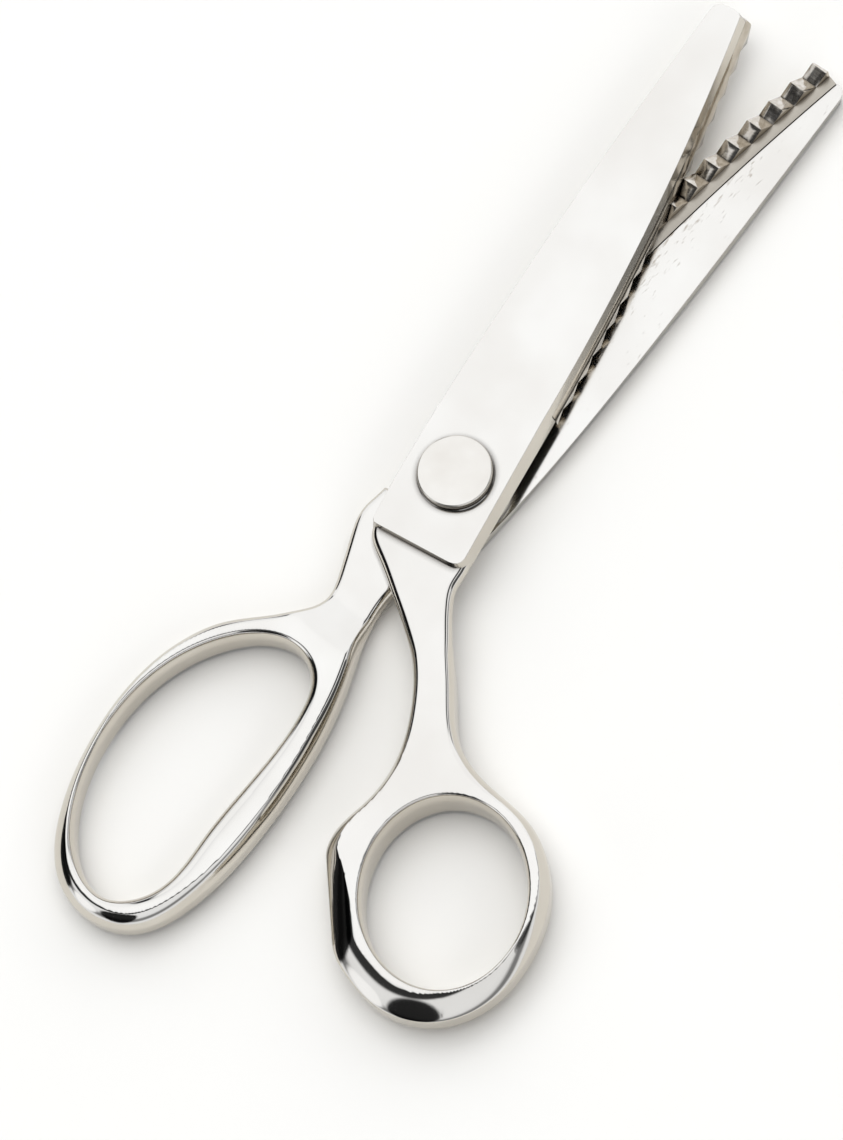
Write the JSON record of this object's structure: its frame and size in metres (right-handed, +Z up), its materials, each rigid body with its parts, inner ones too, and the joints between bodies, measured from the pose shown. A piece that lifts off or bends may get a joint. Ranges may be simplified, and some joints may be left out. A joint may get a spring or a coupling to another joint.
{
  "type": "pinking shears",
  "caption": "Forged nickel-plated pinking shears with zigzag toothed blades, a thumb ring, a long finger bow and a wide flat pivot screw, lying slightly open.",
  "frame": {"origin": "on the pivot axis, in the plane that the shears rest on", "axes": "+X from the pivot along the closed blades towards their tips, +Z up along the pivot axis out of the screw's head"},
  "size_m": [0.2051, 0.0905, 0.0123],
  "materials": {
    "nickel_plate": "mirror-polished nickel plate on forged steel",
    "ground_steel": "ground and hardened tool steel, lightly plated",
    "screw_plate": "satin-turned and nickel plated",
    "spring_steel": "oiled spring steel",
    "bronze": "smooth bronze shim"
  },
  "bodies": {
    "lower": {"lower_blade_and_finger_bow": "nickel_plate", "lower_tooth_strip": "ground_steel", "pivot_screw": "screw_plate", "spring_washer": "spring_steel", "thrust_washer": "bronze", "lock_washer": "spring_steel", "pivot_nut": "screw_plate"},
    "upper": {"upper_blade_and_thumb_ring": "nickel_plate", "upper_tooth_strip": "ground_steel"}
  },
  "joints": [
    {"name": "pivot", "type": "hinge", "parent": "lower", "child": "upper", "pos_m": [0, 0, 0.0052], "axis": [0, 0, 1], "range_deg": [-9.5, 35]}
  ]
}
